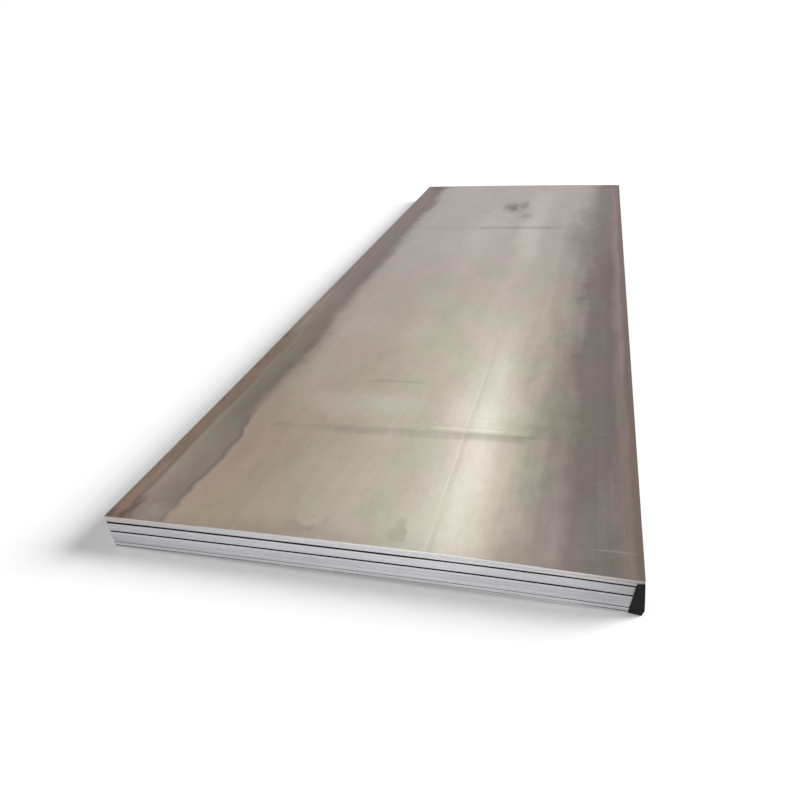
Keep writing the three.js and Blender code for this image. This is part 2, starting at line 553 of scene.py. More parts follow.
# lines square across the plate: y, from x, to x, half width, strength, tone
CROSS_LINES = (
    (-2.192, -0.60, -0.34, 0.022, 0.12, DIRT),
    (-2.200, -0.30, 0.50, 0.034, 0.18, DIRT),
    (-2.178, -0.05, 0.52, 0.012, 0.07, DIRT),
    # where the roller mark crosses the glare it is darker: painted shade
    (-2.196, 0.26, 0.50, 0.026, 0.14, DIRT),
    (-2.182, 0.50, 0.60, 0.012, 0.12, DIRT),
    (-1.690, -0.28, -0.06, 0.014, 0.14, DIRT),
    (-1.700, -0.28, 0.08, 0.010, 0.07, DIRT),
    (1.320, -0.72, 0.50, 0.055, 0.10, DIRT),
    (1.312, -0.16, 0.42, 0.030, 0.22, DIRT),
    (2.960, -0.70, 0.80, 0.050, 0.45, PALE_GREEN),
    # bright lines on the roller mark's crest: burnished, with a painted glint
    (-2.140, 0.14, 0.40, 0.007, 0.24, BRIGHT_GLINT_STEEL),
    (-2.103, 0.30, 0.39, 0.005, 0.18, BRIGHT_GLINT_STEEL),
    (-2.057, 0.30, 0.37, 0.005, 0.14, BRIGHT_GLINT_STEEL),
    (-2.108, 0.86, 0.87, 0.004, 0.12, PALE_MARK),
    (-2.898, 0.87, 0.93, 0.004, 0.24, PALE_MARK),
)
# lines along the plate: x, from y, to y, half width, strength, tone
LONG_LINES = (
    (-0.905, -2.75, -2.10, 0.014, 0.13, WARM_MARK),
    (-0.916, -2.10, -1.20, 0.014, 0.07, WARM_MARK),
    (-0.934, -2.95, -1.90, 0.008, 0.20, RUST_BROWN),
    (-0.940, 0.90, 2.70, 0.022, 0.25, RUST_STRIP),
    (-0.550, -3.00, -0.60, 0.006, 0.07, DIRT),
    (-0.640, -2.20, 0.60, 0.007, 0.06, PALE_MARK),
    (-0.120, -1.20, 1.20, 0.007, 0.06, PALE_MARK),
    # the crease by the crown's line: a painted highlight on its crest and painted shade beside it
    (0.268, -2.95, -1.75, 0.004, 0.32, POLISHED_SHEEN_STEEL),
    (0.268, -1.70, -1.25, 0.005, 0.12, POLISHED_SHEEN_STEEL),
    (0.282, -2.95, -1.20, 0.010, 0.12, OLIVE_DIRT),
    (0.400, -1.60, 1.60, 0.007, 0.06, PALE_MARK),
    (0.886, -3.00, 1.20, 0.009, 0.26, RIGHT_DARK_OXIDE),
    (0.852, -3.00, -0.60, 0.007, 0.03, PALE_MARK),
    (0.900, -0.40, 0.75, 0.012, 0.32, MAUVE_OXIDE),
    (0.914, -2.75, -2.15, 0.012, 0.26, RIGHT_DARK_OXIDE),
    (0.945, -1.40, 2.40, 0.010, 0.20, RED_MARK),
    (0.962, -3.00, -2.00, 0.010, 0.08, WARM_MARK),
)
# oval patches with torn rims: x, y, half width, half length, strength, tone
PATCHES = (
    # polished streaks and clouds, which also paint a highlight along the crown's line
    (0.32, -2.20, 0.20, 1.70, 0.17, POLISHED_SHEEN_STEEL),
    (0.355, -2.20, 0.07, 1.70, 0.22, POLISHED_SHEEN_STEEL),
    (0.32, -1.93, 0.30, 0.24, 0.17, POLISHED_SHEEN_STEEL),
    (-0.30, -1.95, 0.40, 0.20, 0.18, POLISHED_SHEEN_STEEL),
    (-0.10, -1.93, 0.25, 0.14, 0.12, POLISHED_SHEEN_STEEL),
    (-0.58, -1.25, 0.26, 1.10, 0.16, POLISHED_SHEEN_STEEL),
    (-0.22, -1.00, 0.22, 0.35, 0.13, POLISHED_SHEEN_STEEL),
    (-0.02, 0.95, 0.38, 0.90, 0.10, POLISHED_SHEEN_STEEL),
    (-0.08, 1.60, 0.25, 0.80, 0.18, POLISHED_SHEEN_STEEL),
    (0.27, 1.30, 0.14, 1.60, 0.28, POLISHED_SHEEN_STEEL),
    (0.26, 2.35, 0.14, 0.55, 0.18, POLISHED_SHEEN_STEEL),
    (0.12, -0.75, 0.24, 0.38, 0.08, POLISHED_SHEEN_STEEL),
    (0.28, 0.75, 0.10, 0.50, 0.13, POLISHED_SHEEN_STEEL),
    (-0.15, 1.05, 0.15, 0.85, 0.10, POLISHED_SHEEN_STEEL),
    (-0.30, 0.95, 0.22, 0.60, 0.10, POLISHED_SHEEN_STEEL),
    (0.20, 1.42, 0.10, 0.28, 0.10, POLISHED_SHEEN_STEEL),
    (0.21, 1.05, 0.13, 0.50, 0.10, POLISHED_SHEEN_STEEL),
    (-0.15, 0.40, 0.14, 1.10, 0.08, POLISHED_SHEEN_STEEL),
    (0.50, -1.88, 0.09, 0.16, 0.12, POLISHED_SHEEN_STEEL),
    (0.30, 1.30, 0.09, 0.34, 0.09, POLISHED_SHEEN_STEEL),
    (0.30, 0.50, 0.10, 0.34, 0.08, POLISHED_SHEEN_STEEL),
    (-0.22, -0.48, 0.24, 0.30, 0.07, POLISHED_SHEEN_STEEL),
    # tinted steel
    (0.55, 0.03, 0.08, 0.25, 0.40, MAUVE_STEEL),
    (-0.26, -2.20, 0.07, 0.06, 0.22, MAUVE_STEEL),
    (-0.50, -1.32, 0.32, 0.28, 0.20, TAN_STEEL),
    (0.88, -2.65, 0.05, 0.35, 0.12, PALE_MARK),
    (0.10, 2.75, 0.60, 0.25, 0.35, PINK_STEEL),
    (0.68, 2.72, 0.14, 0.35, 0.45, PINK_STEEL),
    (0.58, 2.93, 0.18, 0.14, 0.15, PINK_STEEL),
    # dirt, oxide and rubbed places, mostly on the right
    (-0.20, -2.97, 0.36, 0.10, 0.12, DIRT),
    (0.56, -2.97, 0.10, 0.22, 0.30, OLIVE_DIRT),
    (0.68, -2.00, 0.10, 0.42, 0.26, OLIVE_DIRT),
    (0.59, -2.09, 0.07, 0.08, 0.36, OLIVE_DIRT),
    (0.58, -1.88, 0.06, 0.08, 0.12, OLIVE_DIRT),
    (0.74, -1.50, 0.10, 0.35, 0.36, OLIVE_DIRT),
    (0.785, -2.00, 0.06, 0.55, 0.40, OLIVE_DIRT),
    (0.62, 1.15, 0.12, 0.50, 0.30, RIGHT_OXIDE),
    (0.68, -0.80, 0.09, 0.42, 0.17, PALE_MARK),
    (0.75, 2.25, 0.07, 0.25, 0.07, PALE_MARK),
    (0.88, 0.05, 0.09, 0.75, 0.40, MAUVE_OXIDE),
    (0.715, -1.90, 0.05, 0.14, 0.30, OLIVE_DIRT),
    (-0.68, -2.45, 0.09, 0.25, 0.12, OLIVE_DIRT),
    (-0.97, -0.60, 0.03, 0.40, 0.12, PALE_MARK),
    # the corners and the left side
    (-0.88, 2.95, 0.19, 0.22, 0.35, RUST_BROWN),
    (0.90, 2.97, 0.14, 0.20, 0.30, RUST_BROWN),
    (-0.86, 2.92, 0.16, 0.20, 0.25, EDGE_OXIDE),
    (-0.70, -2.90, 0.08, 0.25, 0.10, PALE_MARK),
    (-0.84, -2.82, 0.08, 0.30, 0.06, PALE_MARK),
    (-0.960, -2.74, 0.040, 0.26, 0.14, WARM_MARK),
    (-0.870, -2.60, 0.045, 0.32, 0.12, WARM_MARK),
    (-0.630, -2.85, 0.130, 0.40, 0.35, TAN_STEEL),
    (-0.810, -2.96, 0.090, 0.10, 0.20, PALE_MARK),
    (-0.955, -0.98, 0.040, 0.24, 0.16, PALE_MARK),
    (-0.775, -1.32, 0.050, 0.18, 0.35, OLIVE_LINE),
    (-0.810, -1.62, 0.022, 0.22, 0.20, OLIVE_LINE),
    (-0.975, -1.68, 0.030, 0.40, 0.18, DIRT),
    # over the two oxide bands
    (0.83, -2.75, 0.08, 0.22, 0.40, GREEN_OXIDE),
    (0.87, -2.97, 0.16, 0.07, 0.35, OLIVE_DIRT),
    (0.665, -2.74, 0.13, 0.38, 0.16, MAUVE_STEEL),
    (0.94, -2.35, 0.045, 0.70, 0.30, RUST_STRIP),
    (-0.825, -2.40, 0.06, 0.36, 0.35, GREEN_OXIDE),
    # spots of dirt
    (-0.20, -2.94, 0.10, 0.05, 0.10, DIRT),
    (0.15, -2.90, 0.045, 0.10, 0.17, DIRT),
    (0.13, -1.60, 0.07, 0.15, 0.07, DIRT),
    (0.72, 2.93, 0.16, 0.14, 0.08, DIRT),
    (0.80, 2.20, 0.05, 0.20, 0.06, DIRT),
    (0.175, -2.90, 0.014, 0.06, 0.14, DIRT),
    (0.180, -2.955, 0.012, 0.035, 0.22, DIRT),
    (-0.171, -2.915, 0.014, 0.05, 0.18, DIRT),
    (0.16, 1.71, 0.10, 0.14, 0.38, DIRT),
    (0.10, 1.52, 0.03, 0.06, 0.14, DIRT),
    (-0.23, 1.90, 0.06, 0.08, 0.14, DIRT),
    (0.66, 1.90, 0.07, 0.16, 0.14, DIRT),
    (0.78, -0.09, 0.03, 0.10, 0.20, DIRT),
    # under the splash
    (0.03, 2.05, 0.16, 0.32, 0.28, DIRT),
    (0.02, 2.04, 0.050, 0.24, 0.70, DIRT),
    (-0.04, 2.08, 0.040, 0.14, 0.45, DIRT),
    (0.12, 2.14, 0.045, 0.20, 0.42, DIRT),
    (0.13, 1.91, 0.025, 0.09, 0.50, PALE_MARK),
    (0.08, 2.01, 0.018, 0.07, 0.50, PALE_MARK),
    # rust and dirt along the left edge
    (-0.960, -2.67, 0.030, 0.10, 0.30, RUST_RED),
    (-0.955, -2.865, 0.035, 0.12, 0.36, RUST_RED),
    (-0.970, -2.955, 0.020, 0.05, 0.35, RUST_RED),
    (-0.895, -2.70, 0.030, 0.14, 0.15, PINK_STEEL),
    (-0.970, -2.28, 0.024, 0.12, 0.30, RUST_RED),
    (-0.975, -1.72, 0.022, 0.10, 0.35, RUST_RED),
    (-0.920, -2.93, 0.032, 0.13, 0.62, RUST_BROWN),
    (-0.985, -1.18, 0.022, 0.06, 0.45, RUST_BROWN),
    (-0.990, -2.00, 0.018, 0.08, 0.45, RUST_BROWN),
    (-0.990, -2.985, 0.040, 0.05, 0.45, DIRT),
)
# the dried splash: x, y, half width, half length
SPLASH = (0.06, 2.04, 0.17, 0.30)


# ---- the rolled face: its finish ---------------------------------------------

# A span, here and below, runs from where a change begins to where it is complete. A belt is the
# two places that it lies between. ACROSS says that they are X, and ALONG that they are Y.
CALM_FRONT_ALONG = (-1.8, -2.4)   # where the left border gets straighter
CALM_REAR_ALONG = (1.4, 2.2)      # where the right one does
CALM = 0.35                       # the share of a border's wander that is left there
TORN_REACH = (0.10, 0.20, 0.0)    # how far a patch's rim is torn to and fro


class RolledFace:
    """The position of a point on a rolled face, and some wavering versions of it."""

    def __init__(self, tree):
        self.tree = tree
        self.position = object_position(tree)
        place = axes_of(tree, self.position)
        self.x, self.y = place["X"], place["Y"]

        # borders along the plate: a slow wander, streaky tongues and a fine ragged rim
        slow = self.clouds(0.4, 1.0, 1.6, 2.0)
        tongues = self.clouds(5.0, 0.6, 3.0, 4.0)
        rim = self.clouds(1.0, 0.8, 12.0, 4.0)
        self.wavy_x = self.moved(centred(tree, tongues, 0.05), centred(tree, slow, 0.05))
        self.lined_x = self.moved(centred(tree, tongues, 0.008), centred(tree, slow, 0.016))

        # the left border's own bends; it is straighter near the front end
        calm = ramp(tree, self.y, *CALM_FRONT_ALONG, 1.0, CALM)
        bends = [product(tree, soft_band(tree, self.y, start, end, softness), -shift)
                 for start, end, softness, shift in BORDER_BENDS]
        wander = [product(tree, centred(tree, pattern, amount), calm)
                  for pattern, amount in ((tongues, 0.03), (slow, 0.02))]
        self.left_x = self.moved(centred(tree, rim, 0.022), *wander, *bends)

        # the right border is straighter near the rear end
        calm = ramp(tree, self.y, *CALM_REAR_ALONG, 1.0, CALM)
        self.right_x = self.moved(*(
            product(tree, centred(tree, pattern, amount), calm)
            for pattern, amount in ((tongues, 0.09), (slow, 0.04), (rim, 0.05))))

        # patches: torn at the rim
        torn = cloud(tree, self.position, 14.0, 4.0, "Color")
        shift = vector_calc(tree, "SUBTRACT", torn, (0.5, 0.5, 0.5))
        shift = vector_calc(tree, "MULTIPLY", shift, TORN_REACH)
        self.torn = vector_calc(tree, "ADD", self.position, shift)

    def clouds(self, across, along, fineness, detail):
        """A cloudy pattern. The smaller across or along is, the more it is drawn out that way."""
        flat = stretched(self.tree, self.position, (across, along, 0.0))
        return cloud(self.tree, flat, fineness, detail)

    def moved(self, *shifts):
        moved = self.x
        for shift in shifts:
            moved = calc(self.tree, "ADD", moved, shift)
        return moved


PALE_ALONG = (-2.6, 0.8)
OLIVE_ACROSS, OLIVE_ALONG = (-0.62, 0.02), (1.0, -1.3)
RIDGE_SHEEN_BELT_ACROSS = (0.24, 0.32)


def bare_steel(face):
    """The bare steel's tone: warm at the front left, olive at the front, pale at the rear, and
    brighter along the crown's line, where a burnished strip has a painted reflection laid over it."""
    tree = face.tree
    colour = mix_colour(tree, ramp(tree, face.y, *PALE_ALONG), WARM_STEEL, PALE_STEEL)
    olive = product(
        tree, ramp(tree, face.wavy_x, *OLIVE_ACROSS), ramp(tree, face.y, *OLIVE_ALONG))
    colour = mix_colour(tree, olive, colour, OLIVE_STEEL)
    ridge_sheen = soft_band(tree, face.wavy_x, *RIDGE_SHEEN_BELT_ACROSS, softness=0.16)
    return lay(tree, colour, RIDGE_SHEEN_STEEL, 0.40, ridge_sheen)


RIGHT_FRONT_ALONG, RIGHT_REAR_ALONG = (-1.3, -0.5), (1.2, 2.4)
REAR_STRIP_ACROSS, REAR_STRIP_ALONG = (0.785, 0.808), (1.9, 2.2)
DARK_BELT_ACROSS, DARK_BELT_ALONG = (0.78, 0.90), (-1.9, -0.3)
RED_BELT_ACROSS = (0.920, 0.950)
RIGHT_EDGE_ACROSS = (0.949, 0.975)


def right_oxide(face, colour):
    """The band along the right edge, which the bare steel fades into. It begins further out
    towards the rear end, and it is darkest before the middle and along its edge."""
    tree = face.tree
    front_start = ramp(tree, face.y, *RIGHT_FRONT_ALONG, 0.37, 0.46)
    rear_shift = ramp(tree, face.y, *RIGHT_REAR_ALONG, 0.0, 0.13)
    start = calc(tree, "ADD", front_start, rear_shift)
    mask = ramp(tree, face.right_x, start, ramp(tree, face.y, *RIGHT_REAR_ALONG, 0.85, 0.90))
    colour = mix_colour(tree, mask, colour, RIGHT_OXIDE)
    colour = lay(
        tree, colour, RIGHT_OXIDE, 0.50,
        ramp(tree, face.lined_x, *REAR_STRIP_ACROSS), ramp(tree, face.y, *REAR_STRIP_ALONG))
    colour = lay(
        tree, colour, RIGHT_DARK_OXIDE, 0.38,
        soft_band(tree, face.right_x, *DARK_BELT_ACROSS, softness=0.05),
        soft_band(tree, face.y, *DARK_BELT_ALONG, softness=1.0))
    red = soft_band(tree, face.wavy_x, *RED_BELT_ACROSS, softness=0.020)
    colour = lay(tree, colour, RED_OXIDE, 0.45, red)
    edge = ramp(tree, face.lined_x, *RIGHT_EDGE_ACROSS, 0.0, 0.7)
    return mix_colour(tree, edge, colour, EDGE_OXIDE), mask


MARGIN_ACROSS = (-0.62, -0.77)
CRISP_ALONG = (-1.9, -2.35)             # where the border sharpens towards the front end
LEFT_START_ACROSS = (-0.745, -0.770)    # where the band starts: at a soft, at a crisp border
LEFT_FULL_ACROSS = (-0.850, -0.800)     # and where it is full
LEFT_REAR_ALONG = (-1.0, 0.2)
GREEN_BELT_ALONG = (-2.0, -1.1)
CORE_ACROSS = (-0.97, -0.85)
SHADOW_BELT_ACROSS = (-0.860, -0.835)
BORDER_BELT_ACROSS = (-0.802, -0.794)
BORDER_FADE_ALONG = (-3.05, -2.65)
STRIP_ACROSS, STRIP_ALONG = (-0.915, -0.945), (-0.6, -1.4)
SEAM_BELT_ACROSS, SEAM_ALONG = (-0.922, -0.916), (0.0, -1.2)


def left_oxide(face, colour):
    """The band along the left edge: a shadowy margin, then grey-brown oxide, darkest along its
    border, with rust on its outer strip. The border is a crisp dark line near the front end."""
    tree = face.tree
    margin = ramp(tree, face.left_x, *MARGIN_ACROSS, 0.0, 0.22)
    colour = mix_colour(tree, margin, colour, LEFT_OXIDE)
    crisp = ramp(tree, face.y, *CRISP_ALONG)
    start = between(tree, crisp, *LEFT_START_ACROSS)
    full = between(tree, crisp, *LEFT_FULL_ACROSS)
    mask = ramp(tree, face.left_x, start, full)

    oxide = mix_colour(
        tree, ramp(tree, face.y, *LEFT_REAR_ALONG), LEFT_OXIDE, LEFT_REAR_OXIDE)
    green = soft_band(tree, face.y, *GREEN_BELT_ALONG, softness=0.5)
    oxide = lay(tree, oxide, LEFT_GREEN_OXIDE, 0.8, green)
    core = product(
        tree, ramp(tree, face.left_x, *CORE_ACROSS), between(tree, crisp, 0.45, 0.25))
    oxide = mix_colour(tree, core, oxide, OXIDE_LINE)
    colour = mix_colour(tree, mask, colour, oxide)

    colour = lay(
        tree, colour, GREEN_SHADOW, 0.45,
        soft_band(tree, face.left_x, *SHADOW_BELT_ACROSS, softness=0.035),
        soft_band(tree, face.y, *GREEN_BELT_ALONG, softness=0.3))
    faded = ramp(tree, face.y, *BORDER_FADE_ALONG, 0.30, 0.75)
    border = soft_band(tree, face.left_x, *BORDER_BELT_ACROSS, softness=0.015)
    colour = mix_colour(tree, product(tree, border, crisp, faded), colour, OXIDE_LINE)
    strip = product(
        tree, ramp(tree, face.wavy_x, *STRIP_ACROSS), ramp(tree, face.y, *STRIP_ALONG))
    colour = mix_colour(tree, strip, colour, RUST_STRIP)
    seam = soft_band(tree, face.wavy_x, *SEAM_BELT_ACROSS, softness=0.008)
    return lay(tree, colour, WARM_MARK, 0.09, seam, ramp(tree, face.y, *SEAM_ALONG)), mask


def lay_lines(face, colour, lines, across, along, fade, uneven):
    """Lays a table of lines. across is the coordinate of their middles, and along the one that
    they run in. A line is half as strong at half_width to each side of its middle."""
    tree = face.tree
    for middle, start, end, half_width, strength, tone in lines:
        line = soft_band(
            tree, across, middle - half_width / 2, middle + half_width / 2, half_width)
        reach = soft_band(tree, along, start, end, fade)
        colour = lay(tree, colour, tone, strength, line, reach, uneven)
    return colour


def long_lines(face, colour):
    """Faint lines in the rolling direction, broken here and there."""
    uneven = ramp(face.tree, face.clouds(4.0, 1.0, 3.5, 3.0), 0.35, 0.55, 0.35, 1.0)
    return lay_lines(face, colour, LONG_LINES, face.lined_x, face.y, 0.20, uneven)


CROSS_SLANT = 0.031               # how far back a line runs for each metre to the right


def cross_lines(face, colour):
    """Faint lines square across the plate, slightly slanted and uneven along their length."""
    tree = face.tree
    wander = centred(tree, face.clouds(1.0, 0.2, 2.5, 2.0), 0.016)
    slanted = calc(
        tree, "SUBTRACT", calc(tree, "ADD", face.y, wander), product(tree, face.x, CROSS_SLANT))
    uneven = ramp(tree, face.clouds(1.0, 0.1, 7.0, 3.0), 0.3, 0.6, 0.6, 1.0)
    return lay_lines(face, colour, CROSS_LINES, slanted, face.x, 0.06, uneven)


def patches(face, colour):
    """Polished places, which also paint a highlight along the crown's line, dirt that was wiped or
    stepped on, oxide clouds and rust.
    """
    for *place, strength, tone in PATCHES:
        colour = lay(face.tree, colour, tone, strength, smudge(face.tree, face.torn, *place))
    return colour


def splash(face, colour):
    """A dried splash near the rear end: dark flecks with a few pale ones between them."""
    tree = face.tree
    flecks = face.clouds(1.0, 0.5, 38.0, 3.0)
    reach = smudge(tree, face.torn, *SPLASH)
    colour = lay(tree, colour, DIRT, 0.55, reach, ramp(tree, flecks, 0.48, 0.60))
    return lay(tree, colour, PALE_MARK, 0.45, reach, ramp(tree, flecks, 0.44, 0.36))


PINKISH, GREENISH = (1.022, 0.990, 1.015), (0.975, 1.006, 0.970)
# streaks in the rolling direction and the grain: stretch, fineness, strength
STREAKS = (
    ((1.0, 0.40, 0.0), 6.5, 0.30),
    ((1.0, 0.06, 0.0), 16.0, 0.12),
    ((1.0, 0.50, 0.0), 38.0, 0.13),
)
FACE_GRAIN = ((1.0, 0.06, 1.0), 130.0, 0.16)
END_STRIP_ALONG = (-2.90, -2.995)       # a darker strip along the front end, which fades
END_STRIP_FADE_ACROSS = (0.5, 0.8)      # towards its right corner


def mottle(face, colour):
    """Slow drifts of hue and tone, streaks in the rolling direction and fine grain."""
    tree = face.tree
    hue = ramp(tree, face.clouds(1.0, 0.45, 5.0, 4.0), 0.36, 0.62)
    colour = mix_colour(
        tree, hue, multiplied(tree, colour, GREENISH), multiplied(tree, colour, PINKISH))
    for streaks in STREAKS:
        colour = shade(tree, colour, drawn_grain(tree, face.position, *streaks)["Factor"])
    grain = drawn_grain(tree, face.position, *FACE_GRAIN)
    colour = shade(tree, colour, grain["Factor"])
    darkest = ramp(tree, face.x, *END_STRIP_FADE_ACROSS, 0.92, 0.99)
    end_strip = ramp(tree, face.y, *END_STRIP_ALONG, 1.0, darkest)
    return shade(tree, colour, end_strip), grain["Height"]


BARE_ROUGHNESS = 0.29
OXIDE_ROUGHNESS = 0.15            # what the oxide bands add to it
GRAZING_TINT = (0.75, 0.72, 0.70, 1)


def rolled_steel():
    """Bare rolled face: oxide bands along both long edges, roller marks, smudges and streaks, with a
    painted highlight and reflection along the crown's line.
    """
    material, tree, surface = new_material(
        "rolled_steel", {"Metallic": 0.85, "Specular Tint": GRAZING_TINT})
    face = RolledFace(tree)
    colour = bare_steel(face)
    colour, right_mask = right_oxide(face, colour)
    colour, left_mask = left_oxide(face, colour)
    colour = patches(face, colour)
    colour = splash(face, colour)
    colour = long_lines(face, colour)
    colour = cross_lines(face, colour)
    colour, grain_height = mottle(face, colour)
    tree.links.new(colour, surface["Base Color"])

    oxide = calc(tree, "MAXIMUM", left_mask, right_mask)
    roughness = calc(tree, "ADD", product(tree, oxide, OXIDE_ROUGHNESS), BARE_ROUGHNESS)
    tree.links.new(roughness, surface["Roughness"])
    add_bump(tree, surface, grain_height, strength=0.15, distance=0.0004)
    return material


# ---- grime, painted shade and the faces that lie on each other ---------------

EDGE_MASK_FULL = 0.6                  # the share of its reach up to which grime and painted shade are at their darkest
FULL_REACH = 0.0006               # grime and painted shade that reach less far than this are fainter
COVERED_STEEL = (0.260, 0.240, 0.225)
DARK_COVERED_STEEL = (0.205, 0.190, 0.182)
# dirt and painted shade crept in from the joints
CREPT_GRIME_AND_SHADE = (0.020, 0.019, 0.018)
COVERED_GRAIN = ((1.0, 0.05, 1.0), 90.0, 0.25)
CREEP_ACROSS, CREEP_ALONG = (0.88, 0.95), (2.88, 2.95)
UPPER_FACE_DEPTH = 0.002          # what lies deeper than this is an underside


def edge_reach_mask(tree, distance, reach, uneven):
    """1 within reach of an edge, and 0 all over where the reach is nothing."""
    reach = product(tree, reach, uneven)
    near = ramp(tree, distance, reach, product(tree, reach, EDGE_MASK_FULL))
    return product(tree, near, ramp(tree, reach, 0.0, FULL_REACH))


def covered_steel():
    """The faces that lie on each other: dull, with dirt and the painted shade of the joints crept in
    where their edges have any.
    """
    material, tree, surface = new_material("covered_steel", {"Specular IOR Level": 0.2})
    position = object_position(tree)
    place = axes_of(tree, position)
    depth, foot_grime_and_shade, head_grime_and_shade = (
        attribute(tree, name) for name in ("depth", "foot_grime_and_shade", "head_grime_and_shade"))
    own_grime_and_shade = ramp(tree, depth, 0.0, UPPER_FACE_DEPTH, head_grime_and_shade, foot_grime_and_shade)
    creep = centred(tree, cloud(tree, position, 9.0, 4.0), 0.05)
    across = calc(tree, "ADD", calc(tree, "ABSOLUTE", place["X"]), creep)
    along = calc(tree, "ADD", calc(tree, "ABSOLUTE", place["Y"]), creep)
    near_edge = calc(
        tree, "MAXIMUM", ramp(tree, across, *CREEP_ACROSS), ramp(tree, along, *CREEP_ALONG))
    grimy_and_shaded = product(tree, near_edge, ramp(tree, own_grime_and_shade, 0.0, FULL_REACH, 0.25, 1.0))
    islands = blotches(
        tree, stretched(tree, position, (1.0, 0.3, 1.0)), fineness=5.0, amount=0.5, softness=0.3)
    scale = mix_colour(tree, islands, COVERED_STEEL, DARK_COVERED_STEEL)
    grain = drawn_grain(tree, position, *COVERED_GRAIN)
    colour = mix_colour(tree, grimy_and_shaded, shade(tree, scale, grain["Factor"]), CREPT_GRIME_AND_SHADE)
    tree.links.new(colour, surface["Base Color"])
    tree.links.new(between(tree, grimy_and_shaded, 0.50, 0.85), surface["Roughness"])
    tree.links.new(between(tree, grimy_and_shaded, 0.80, 0.0), surface["Metallic"])
    return material


# ---- the cut sides -----------------------------------------------------------

CUT_STEEL = (0.690, 0.689, 0.722)
TOP_CUT_STEEL = (0.700, 0.682, 0.696)
WARM_CUT_STEEL = (0.740, 0.682, 0.660)
# worn arrises, with a painted highlight
WORN_GLINT_STEEL = (0.880, 0.862, 0.850)
WRAPPED_OXIDE = (0.225, 0.184, 0.165)
WRAPPED_STEEL = (0.510, 0.445, 0.395)
# dirt and painted shade in the joints
CUT_GRIME_AND_SHADE = (0.040, 0.040, 0.046)

RIGHT_CORNER_ACROSS = (0.72, 1.0)
WARM_CORNERS_ACROSS = (0.60, 0.95)      # both corners, as are the wrapped ones
WRAPPED_CORNERS_ACROSS = (0.45, 0.75)
TOP_PLATE_HEIGHT = (0.115, 0.130)       # Z where the second plate gives way to the top plate
DRAG_BELT_DEPTH = (0.0125, 0.0150)
RIM_WIDTH = 0.0020
# grains: stretch, fineness, strength
TONE_DRIFT = ((1.0, 1.0, 6.0), 3.0, 0.20)
STRIATIONS = ((0.06, 0.06, 4.0), 45.0, 0.42)
CUT_FLECKS = ((1.0, 1.0, 0.7), 120.0, 0.30)


def worn_glint_rim(tree, distance, grime_and_shade_reach):
    """The bright rim of an arris, worn and with a painted highlight, which begins where its dirt and
    painted shade end.
    """
    past_grime = calc(tree, "SUBTRACT", distance, grime_and_shade_reach)
    return soft_band(tree, past_grime, 0.0, RIM_WIDTH, RIM_WIDTH)


def sheared_steel():
    """A cut side: fine striations along it, worn bright rims with a painted highlight, dirt and the
    painted shade of the joints, and painted light and shade along the end.
    """
    material, tree, surface = new_material("sheared_steel", {"Metallic": 0.8, "Roughness": 0.45})
    position = object_position(tree)
    place = axes_of(tree, position)
    from_middle = calc(tree, "ABSOLUTE", place["X"])
    height, depth = attribute(tree, "height"), attribute(tree, "depth")
    plate_tone_and_light, foot_grime_and_shade, head_grime_and_shade, wrap, rim, drag = (
        attribute(tree, name) for name in SIDE_MARKS)

    # painted light: each plate's tone, and painted shade towards the right corner where the glare
    # falls off; with drifting tone, striations, small flecks and a drag line
    right_painted_shade = ramp(tree, place["X"], *RIGHT_CORNER_ACROSS, 1.0, 0.67)
    drift, striations, flecks = (
        drawn_grain(tree, position, *grain) for grain in (TONE_DRIFT, STRIATIONS, CUT_FLECKS))
    dragged = product(tree, soft_band(tree, depth, *DRAG_BELT_DEPTH, softness=0.0030), drag)
    tone = product(
        tree, plate_tone_and_light, right_painted_shade, drift["Factor"], striations["Factor"], flecks["Factor"],
        calc(tree, "SUBTRACT", 1.0, dragged))

    # the top plate's sides are a little warmer, most near the corners; worn rims with a painted
    # highlight next to the grime and painted shade
    near_corner = ramp(tree, from_middle, *WARM_CORNERS_ACROSS)
    top_steel = mix_colour(tree, near_corner, TOP_CUT_STEEL, WARM_CUT_STEEL)
    steel = mix_colour(tree, ramp(tree, place["Z"], *TOP_PLATE_HEIGHT), CUT_STEEL, top_steel)
    head_rim, foot_rim = worn_glint_rim(tree, depth, head_grime_and_shade), worn_glint_rim(tree, height, foot_grime_and_shade)
    rims = product(tree, calc(tree, "MAXIMUM", head_rim, product(tree, foot_rim, 0.7)), rim)
    colour = shade(tree, mix_colour(tree, rims, steel, WORN_GLINT_STEEL), tone)

    # grime and the painted shade of the joints at the foot and the head, and the upper face's oxide
    # wrapped over the arris
    patchy = cloud(tree, stretched(tree, position, (1.0, 1.0, 8.0)), 4.0, 3.0)
    uneven = ramp(tree, patchy, 0.3, 0.6, 0.8, 1.15)
    joint_grime_and_shade = calc(
        tree, "MAXIMUM", edge_reach_mask(tree, height, foot_grime_and_shade, uneven),
        edge_reach_mask(tree, depth, head_grime_and_shade, uneven))
    colour = mix_colour(tree, joint_grime_and_shade, colour, CUT_GRIME_AND_SHADE)
    towards_corner = ramp(tree, from_middle, *WRAPPED_CORNERS_ACROSS)
    wrapped = mix_colour(tree, towards_corner, WRAPPED_STEEL, WRAPPED_OXIDE)
    colour = mix_colour(tree, edge_reach_mask(tree, depth, wrap, uneven), colour, wrapped)
    tree.links.new(colour, surface["Base Color"])
    add_bump(tree, surface, striations["Height"], strength=0.3, distance=0.0005)
    return material


# ---- the guard, black where there is only shade under the overhang -----------

SHADE_BLOCK_BLACK = (0.012, 0.012, 0.011)
SHADE_BLOCK_DUSTY = (0.026, 0.025, 0.022)


